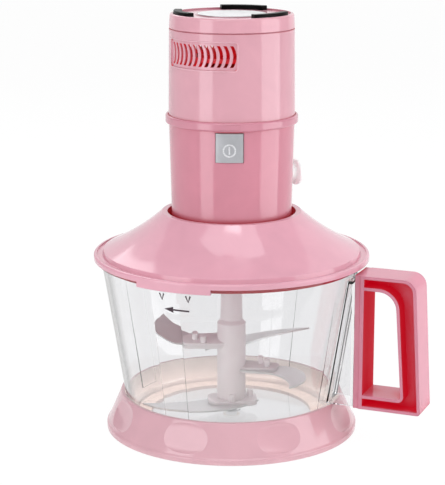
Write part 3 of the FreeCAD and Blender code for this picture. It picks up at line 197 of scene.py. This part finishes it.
# metal with a worked surface: lines of grit along one direction, or a plated or sintered grain
def workedMetal(name, look):
    look = {"stretch": [1, 1, 1], "turn": 0, "reliefDepth": 0.02, "glossSpan": (-0.07, 0.09),
            **look}
    material, tree, place = startMaterial(name)
    stretch = addNode(tree, "ShaderNodeMapping", links={
        "Vector": place["Object"], "Rotation": [0, 0, math.radians(look["turn"])],
        "Scale": look["stretch"]})
    grit = addNoise(tree, stretch.outputs[0], look["gritSize"], 4.0)
    blotch = addNoise(tree, place["Object"], look["blotchSize"], 2.0)
    gloss = addRange(tree, grit, gritSpan, glossEnds(look))
    body = addNode(tree, "ShaderNodeBsdfPrincipled", links={
        "Base Color": addBlend(tree, blotch, look["dark"], look["colour"]),
        "Metallic": look["metal"], "Roughness": gloss,
        "Normal": addBump(tree, grit, look["relief"], look["reliefDepth"])})
    endMaterial(tree, body.outputs[0])
    return material


# matt rubber, silicone, ink or dull plastic: fine even grain, soft broad shine
def dullGrain(name, look):
    look = {"bloomTimes": 12, "relief": 0.3, "reliefDepth": 0.05, "glossSpan": (-0.08, 0.08),
            **look}
    material, tree, place = startMaterial(name)
    grain = addNoise(tree, place["Object"], look["grainSize"], 2.0)
    bloom = addNoise(tree, place["Object"], look["grainSize"] * look["bloomTimes"], 3.0)
    gloss = addRange(tree, bloom, whole, glossEnds(look))
    body = addNode(tree, "ShaderNodeBsdfPrincipled", links={
        "Base Color": addBlend(tree, bloom, look["dark"], look["colour"]), "Roughness": gloss,
        "Normal": addBump(tree, grain, look["relief"], look["reliefDepth"]),
        "Specular IOR Level": look["shine"]})
    endMaterial(tree, body.outputs[0])
    return material


pinkShared = {
    "ior": 1.53, "roughness": 0.1, "glossSpan": (-0.03, 0.04), "shade": (0.965, 1.03),
    "peelSize": 2.5, "flowSize": 26, "relief": 0.25, "reliefDepth": 0.02, "edge": 0.5,
    "recessReach": 14, "recessDark": 0.25, "recessLight": 0.75, "recessRough": 0.5,
    "sideShade": 0.0, "paintedGlowColour": "#C01018"}
# recess is painted shade in each recess; paintedGlow is emission standing in for light
pinkLooks = {
    # housing: red painted shade and a red painted glow inside the vents
    "housing": {"colour": "#DFA5B2", "recess": "#C81C2C", "recessReach": 45, "recessDark": 0.15,
                "recessLight": 0.6, "paintedGlow": 0.5},
    "cap": {"colour": "#E7ACB9", "recess": "#A85468", "paintedGlow": 0.02},
    "sleeve": {"colour": "#D68B9C", "recess": "#B82838", "paintedGlow": 0.1},
    "collar": {"colour": "#D48E9F", "recess": "#C05064", "paintedGlow": 0.05},
    # frame: paler than the housing, a painted highlight along the vent panel's edge
    "frame": {"colour": "#EAB6C2", "recess": "#DDA2B0", "paintedGlow": 0.0},
    "lid": {"colour": "#E6AABA", "recess": "#B82838", "recessDark": 0.0, "recessLight": 0.25,
            "paintedGlow": 0.16, "roughness": 0.09},
    # base: the pale recess tone and its glow are painted light inside the ring
    "base": {"colour": "#E6B6C0", "recess": "#FAF0EC", "recessReach": 20, "recessDark": 0.2,
             "recessLight": 0.5, "paintedGlow": 0.36, "paintedGlowColour": "#F0E6E0"},
    # handle: deep red painted shade and a red painted glow in the channels; sideShade darkens faces
    # turned along X
    "handle": {"colour": "#DC8A9F", "recess": "#7C0C28", "recessReach": 40, "recessDark": 0.34,
               "recessLight": 0.53, "sideShade": 0.44, "recessRough": 0.8, "paintedGlow": 0.5,
               "paintedGlowColour": "#E0001C", "edge": 0.9},
}
pink = {part: mouldedAbs("pinkAbs." + part, {**pinkShared, **look})
        for part, look in pinkLooks.items()}

clearBowl = clearSan("clearSan", {
    "colour": "#F3F3F4", "lampTint": "#F8F8F7", "ior": 1.46, "rippleSize": 18, "relief": 0.2,
    # edge is the painted shade colour for walls seen edge on
    "reliefDepth": 0.05, "haze": 0.03, "edge": "#443F3C", "edgeSpan": (0.46, 0.78),
    "bracketSpan": (15, 30)})
hubNylon = milkyNylon("milkyNylon", {
    "colour": "#FAF4F5", "dark": "#F0E8EA", "cloudSize": 9, "roughness": 0.3, "milk": 0.5,
    "depth": 5})
frameNylon = milkyNylon("naturalNylon", {
    "colour": "#E4E0D6", "dark": "#D6D0C2", "cloudSize": 7, "roughness": 0.45, "milk": 0.1,
    "depth": 3})
glandNylon = milkyNylon("whiteNylon", {
    "colour": "#F4FCFA", "dark": "#EEF6F4", "cloudSize": 8, "roughness": 0.3, "milk": 0.5,
    # the gland's glow is a painted glow that whitens it
    "depth": 5, "glow": 0.16})
bladeSteel = workedMetal("groundStainless", {
    "colour": "#E4E6E6", "dark": "#D6D8D8", "metal": 0.5, "roughness": 0.36, "gritSize": 0.5,
    "stretch": [1, 8, 8], "turn": 30, "blotchSize": 12, "relief": 0.2})
screwSteel = workedMetal("zincPlatedSteel", {
    "colour": "#C2C3C6", "dark": "#A6A7AA", "metal": 1.0, "roughness": 0.32, "gritSize": 0.4,
    "blotchSize": 3, "relief": 0.15})
bronze = workedMetal("sinteredBronze", {
    "colour": "#C79A5C", "dark": "#A67B42", "metal": 1.0, "roughness": 0.42, "gritSize": 0.35,
    "blotchSize": 4, "relief": 0.3})
lamination = workedMetal("siliconSteelStack", {
    "colour": "#8E9094", "dark": "#6C6E72", "metal": 1.0, "roughness": 0.4, "gritSize": 0.5,
    "stretch": [0.05, 0.05, 1], "blotchSize": 8, "relief": 0.6})
copper = workedMetal("enamelledCopper", {
    "colour": "#C85A38", "dark": "#A84428", "metal": 0.2, "roughness": 0.28, "gritSize": 0.4,
    "stretch": [1, 1, 0.08], "blotchSize": 5, "relief": 0.5})
plateFoil = workedMetal("brushedFoil", {
    "colour": "#D0D1D2", "dark": "#BDBEC0", "metal": 0.85, "roughness": 0.36, "gritSize": 0.5,
    "stretch": [1, 12, 12], "turn": 12, "blotchSize": 14, "relief": 0.15})
silverRelief = workedMetal("polishedSilverAbs", {
    "colour": "#E9EBED", "dark": "#E0E2E5", "metal": 0.2, "roughness": 0.25, "gritSize": 0.35,
    "blotchSize": 8, "relief": 0.05})
silverPaint = workedMetal("silverPaintedAbs", {
    "colour": "#C3C5C9", "dark": "#B2B4B8", "metal": 0.6, "roughness": 0.38, "gritSize": 0.35,
    "blotchSize": 8, "relief": 0.12})
blackRubber = dullGrain("blackRubber", {
    "colour": "#080707", "dark": "#040404", "roughness": 0.38, "grainSize": 0.5, "shine": 0.08})
blackNylon = dullGrain("glassFilledNylon", {
    "colour": "#2A2A2C", "dark": "#1C1C1E", "roughness": 0.5, "grainSize": 0.4, "shine": 0.4})
carbon = dullGrain("pressedCarbon", {
    "colour": "#242526", "dark": "#161718", "roughness": 0.6, "grainSize": 0.3, "shine": 0.4})
sealSilicone = dullGrain("roseSilicone", {
    "colour": "#D49A98", "dark": "#C98A88", "roughness": 0.45, "grainSize": 0.6, "shine": 0.5})
printInk = dullGrain("padPrintInk", {
    "colour": "#4A3A43", "dark": "#3A2C35", "roughness": 0.55, "grainSize": 0.4, "shine": 0.3})
print("materials made:", len(bpy.data.materials))

finishes = {
    "base_ring": pink["base"], "handle": pink["handle"], "lid_cover": pink["lid"],
    "lower_sleeve": pink["sleeve"], "trim_collar": pink["collar"], "motor_housing": pink["housing"],
    # the upper bracket takes the housing's finish, with its painted shade and painted glow, which
    # shows red through the vents
    "upper_bracket": pink["housing"], "top_cap": pink["cap"],
    "bowl": clearBowl, "blade_hub": hubNylon, "cord_gland": glandNylon,
    "upper_blade_left": bladeSteel, "upper_blade_right": bladeSteel,
    "lower_blade_front": bladeSteel, "lower_blade_right": bladeSteel, "spindle_pin": screwSteel,
    "cap_screws": screwSteel, "end_plate_screws": screwSteel, "bracket_bolts": screwSteel,
    "armature_shaft": screwSteel, "hub_bush": bronze, "lower_bush": bronze, "upper_bush": bronze,
    "brush_holders": bronze, "stator_core": lamination, "armature_core": lamination,
    "field_coils": copper, "armature_winding": copper, "commutator": copper,
    "rating_plate": plateFoil, "power_button": silverPaint, "rubber_feet": blackRubber,
    "switch_body": blackNylon, "cooling_fan": blackNylon, "carbon_brushes": carbon,
    "lid_seal": sealSilicone, "switch_plunger": frameNylon, "end_plate": frameNylon,
    "lower_bracket": frameNylon, "drive_coupling": frameNylon,
}
for name, node in cadNodes.items():
    node.data.materials.clear()
    node.data.materials.append(finishes[name])
print("finishes given to", len(finishes), "nodes")


# signs laid on turned surfaces: a path on the flat is a band of some width, bent round the axis
def bandOn(shell, path, wide, spotAt):
    rails = []
    for i, here in enumerate(path):
        before, after = Vector(path[max(i - 1, 0)]), Vector(path[min(i + 1, len(path) - 1)])
        if path[0] == path[-1] and i in (0, len(path) - 1):
            before, after = Vector(path[-2]), Vector(path[1])
        along = (after - before).normalized()
        side = Vector((-along.y, along.x)) * wide / 2
        rails.append([shell.verts.new(spotAt(*(Vector(here) + s))) for s in (side, -side)])
    for (a, b), (c, d) in zip(rails, rails[1:]):
        shell.faces.new((a, b, d, c))


# the place of a flat spot on a cone round the axis, raised or sunk by lift; mm
def onCone(cone, turn, level, lift):
    def spotAt(across, up):
        z = level + up
        share = (z - cone["foot"]) / (cone["top"] - cone["foot"])
        radius = cone["footRadius"] + share * (cone["topRadius"] - cone["footRadius"]) + lift
        swing = turn + across / radius
        return axisSpot + Vector((radius * math.sin(swing), -radius * math.cos(swing), z)) * mm
    return spotAt


def reachOf(name, above=-math.inf):
    spots = [v.co for v in cadNodes[name].data.vertices if v.co.z > above]
    return max(math.hypot(spot.x - axisX, spot.y) for spot in spots) / mm


weld = 0.01  # mm


def finishSign(name, shell, thick, material, body):
    bmesh.ops.remove_doubles(shell, verts=shell.verts, dist=weld * mm)
    grown = bmesh.ops.extrude_face_region(shell, geom=shell.faces[:])["geom"]
    for vert in [item for item in grown if isinstance(item, bmesh.types.BMVert)]:
        vert.co += Vector((vert.co.x - axisX, vert.co.y, 0)).normalized() * thick * mm
    bmesh.ops.recalc_face_normals(shell, faces=shell.faces)
    mesh = bpy.data.meshes.new(name)
    shell.to_mesh(mesh)
    shell.free()
    mesh.materials.append(material)
    sign = bpy.data.objects.new(name, mesh)
    bpy.context.scene.collection.objects.link(sign)
    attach(sign, body)


# turning arrow and two lock marks, pad printed on the bowl below the tab; mm and degrees
bowlCone = {"foot": 7.6, "footRadius": 73.2, "top": 123.2, "topRadius": 92.0}
lockPrint = {"level": 106.2, "turn": -24.1, "length": 18.6, "line": 1.15, "head": 7.0,
             "headWide": 4.2, "lift": 0.04, "thick": 0.05, "segments": 10,
             "markLevel": 114.8, "markTurns": (-30.6, -18.4), "markHigh": 4.6, "markWide": 3.2}
shell = bmesh.new()
half, steps = lockPrint["length"] / 2, lockPrint["segments"]
neck = lockPrint["head"] - half
arrowTurn = viewTurn + math.radians(lockPrint["turn"])
spotAt = onCone(bowlCone, arrowTurn, lockPrint["level"], lockPrint["lift"])
shaft = [(half + i * (neck - half) / steps, 0) for i in range(steps + 1)]
bandOn(shell, shaft, lockPrint["line"], spotAt)
barbs = [(-half, 0), (neck, lockPrint["headWide"] / 2), (neck, -lockPrint["headWide"] / 2)]
shell.faces.new([shell.verts.new(spotAt(*spot)) for spot in barbs])
reach, rise = lockPrint["markWide"] / 2, lockPrint["markHigh"] / 2
for turn in lockPrint["markTurns"]:
    markTurn = viewTurn + math.radians(turn)
    spotAt = onCone(bowlCone, markTurn, lockPrint["markLevel"], lockPrint["lift"])
    bandOn(shell, [(-reach, rise), (0, -rise), (reach, rise)], lockPrint["line"], spotAt)
finishSign("lockPrint", shell, lockPrint["thick"], printInk, "bowl")

# plain power sign, raised on the button: a ring and an upright bar; mm
powerSign = {"radius": 4.0, "line": 1.0, "bar": 5.4, "drop": 0.8, "sink": 0.1, "thick": 0.5,
             "segments": 32}
low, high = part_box("power_button")
buttonFace = reachOf("power_button")
buttonCone = {"foot": low.z / mm, "footRadius": buttonFace,
              "top": high.z / mm, "topRadius": buttonFace}
middle = (low.z + high.z) / 2 / mm
onButton = onCone(buttonCone, headTurn, middle - powerSign["drop"], -powerSign["sink"])
shell = bmesh.new()
turns = [2 * math.pi * i / powerSign["segments"] for i in range(powerSign["segments"])]
ring = [(powerSign["radius"] * math.cos(t), powerSign["radius"] * math.sin(t)) for t in turns]
bandOn(shell, ring + ring[:1], powerSign["line"], onButton)
bandOn(shell, [(0, powerSign["bar"] / 2), (0, -powerSign["bar"] / 2)], powerSign["line"], onButton)
finishSign("powerSign", shell, powerSign["thick"], silverRelief, "button")

# moulded frame round each of the two vent panels, paler than the housing as a painted highlight; mm
# and degrees
ventFrame = {"turns": (-31.2, -151.2), "span": 76.0, "high": 18.4, "level": 269.0, "corner": 2.2,
             "cornerSteps": 6, "line": 0.8, "sink": 0.15, "thick": 0.35, "segments": 24}
low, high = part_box("motor_housing")
housingCone = {"foot": low.z / mm, "footRadius": (high.x - low.x) / 2 / mm,
               "top": high.z / mm, "topRadius": reachOf("motor_housing", high.z - mm)}
shell = bmesh.new()
reach = math.radians(ventFrame["span"] / 2) * housingCone["topRadius"] + ventFrame["line"] / 2
rise, corner = (ventFrame["high"] + ventFrame["line"]) / 2, ventFrame["corner"]
edge = []
for quarter, (x, y) in enumerate(((1, 1), (-1, 1), (-1, -1), (1, -1))):
    for step in range(ventFrame["cornerSteps"] + 1):
        swing = math.radians(90 * (quarter + step / ventFrame["cornerSteps"]))
        edge.append((x * (reach - corner) + corner * math.cos(swing),
                     y * (rise - corner) + corner * math.sin(swing)))
    if x == y:  # the long sides follow these corners
        for step in range(1, ventFrame["segments"]):
            edge.append((x * (reach - corner) * (1 - 2 * step / ventFrame["segments"]), y * rise))
for turn in ventFrame["turns"]:
    frameTurn = headTurn + math.radians(turn)
    spotAt = onCone(housingCone, frameTurn, ventFrame["level"], -ventFrame["sink"])
    bandOn(shell, edge + edge[:1], ventFrame["line"], spotAt)
finishSign("ventFrames", shell, ventFrame["thick"], pink["frame"], "motor")
print("signs and vent frames laid on")

# camera at the photograph's viewing angle: 445 x 485, focal length 1673 px
cameraLook = {"distance": 1.148, "height": 0.405, "pitch": 13.33, "yaw": 22.32,
              "focal": 1673, "tall": 485, "sensor": 36}
camera = bpy.data.objects.new("camera", bpy.data.cameras.new("camera"))
camera.data.sensor_width = cameraLook["sensor"]
camera.data.lens = cameraLook["focal"] / cameraLook["tall"] * cameraLook["sensor"]
camera.location = axisSpot + Vector((
    cameraLook["distance"] * math.sin(viewTurn), -cameraLook["distance"] * math.cos(viewTurn),
    cameraLook["height"]))
camera.rotation_euler = (math.radians(90 - cameraLook["pitch"]), 0, math.radians(cameraLook["yaw"]))
bpy.context.scene.collection.objects.link(camera)
bpy.context.scene.camera = camera

# soft boxes: angle round from the camera's side, sizes in metres, tilt down from upright
softBoxes = {
    "leftBox": {"angle": -46, "reach": 0.62, "wide": 0.27, "tall": 0.62, "power": 1.35},
    "rightBox": {"angle": 74, "reach": 0.62, "wide": 0.46, "tall": 0.62, "power": 2.2},
    "topBox": {"angle": 10, "reach": 0.25, "foot": 1.7, "tilt": 80,
               "wide": 1.2, "tall": 1.2, "power": 9},
    "frontBox": {"angle": -12, "reach": 1.1, "foot": 0.7, "tilt": 35,
                 "wide": 0.8, "tall": 0.6, "power": 3},
    "backBox": {"angle": 190, "reach": 1.2, "foot": 0.8, "tilt": 40,
                "wide": 1.0, "tall": 0.7, "power": 4},
    "lidBox": {"angle": 8, "reach": 0.17, "foot": 1.25, "tilt": 82,
               "wide": 0.26, "tall": 0.14, "power": 0.55},
}
for name, look in softBoxes.items():
    box = {"foot": 0.0, "tilt": 0, **look}
    lamp = bpy.data.lights.new(name, "AREA")
    lamp.shape = "RECTANGLE"
    lamp.size, lamp.size_y, lamp.energy = box["wide"], box["tall"], box["power"]
    holder = bpy.data.objects.new(name, lamp)
    swing = viewTurn + math.radians(box["angle"])
    rise = box["foot"] + box["tall"] / 2 * math.cos(math.radians(box["tilt"]))
    holder.location = axisSpot + Vector((
        box["reach"] * math.sin(swing), -box["reach"] * math.cos(swing), rise))
    holder.rotation_euler = (math.radians(90 - box["tilt"]), 0, swing)
    bpy.context.scene.collection.objects.link(holder)

# a white sweep behind and under the object, and an even studio around it; metres
stageLook = {"floor": "#F4F4F4", "half": 3.0, "wall": 4.0, "bend": 1.2, "bendSteps": 12,
             "near": 0.1, "white": 0.92, "glow": 1.04, "world": "#C8C8CA", "worldStrength": 0.45}
shell = bmesh.new()
bmesh.ops.create_grid(shell, x_segments=1, y_segments=1, size=stageLook["half"])
back = stageLook["half"] - stageLook["near"]
far = [e for e in shell.edges if all(v.co.y > back for v in e.verts)]
wall = bmesh.ops.extrude_edge_only(shell, edges=far)["geom"]
raised = [v for v in wall if isinstance(v, bmesh.types.BMVert)]
bmesh.ops.translate(shell, verts=raised, vec=(0, 0, stageLook["wall"]))
bend = [e for e in shell.edges
        if all(v.co.y > back and v.co.z < stageLook["near"] for v in e.verts)]
bmesh.ops.bevel(shell, geom=bend, offset=stageLook["bend"], segments=stageLook["bendSteps"],
                profile=0.5, affect="EDGES", material=-1)
bmesh.ops.rotate(shell, verts=shell.verts, cent=(0, 0, 0), matrix=Matrix.Rotation(viewTurn, 3, "Z"))
sweepMesh = bpy.data.meshes.new("sweep")
shell.to_mesh(sweepMesh)
shell.free()
sweepMesh.shade_smooth()
sweep = bpy.data.objects.new("sweep", sweepMesh)
bpy.context.scene.collection.objects.link(sweep)
paper, tree = startMaterial("whitePaper")[:2]
way = addNode(tree, "ShaderNodeLightPath").outputs
seen = addMath(tree, "MAXIMUM", way["Is Camera Ray"], way["Is Transmission Ray"])
seenToo = addMath(tree, "MAXIMUM", seen, way["Is Glossy Ray"])
matt = addNode(tree, "ShaderNodeBsdfDiffuse", links={"Color": linearRgb(stageLook["floor"])})
white = addNode(tree, "ShaderNodeEmission", links={
    "Color": [1, 1, 1, 1], "Strength": stageLook["glow"]})
endMaterial(tree, addNode(tree, "ShaderNodeMixShader", links={
    0: addMath(tree, "MULTIPLY", seenToo, stageLook["white"]), 1: matt.outputs[0],
    2: white.outputs[0]}).outputs[0])
sweepMesh.materials.append(paper)

world = bpy.data.worlds.new("studio")
bpy.context.scene.world = world
world.use_nodes = True
tree = world.node_tree
tree.nodes.clear()
way = addNode(tree, "ShaderNodeLightPath").outputs
dim = addNode(tree, "ShaderNodeBackground", links={
    "Color": linearRgb(stageLook["world"]), "Strength": stageLook["worldStrength"]})
bright = addNode(tree, "ShaderNodeBackground", links={"Color": [1, 1, 1, 1], "Strength": 1.0})
both = addNode(tree, "ShaderNodeMixShader", links={
    0: way["Is Camera Ray"], 1: dim.outputs[0], 2: bright.outputs[0]})
addNode(tree, "ShaderNodeOutputWorld", links={"Surface": both.outputs[0]})
bpy.context.scene.view_settings.view_transform = "Standard"
print("camera, lamps and stage set")
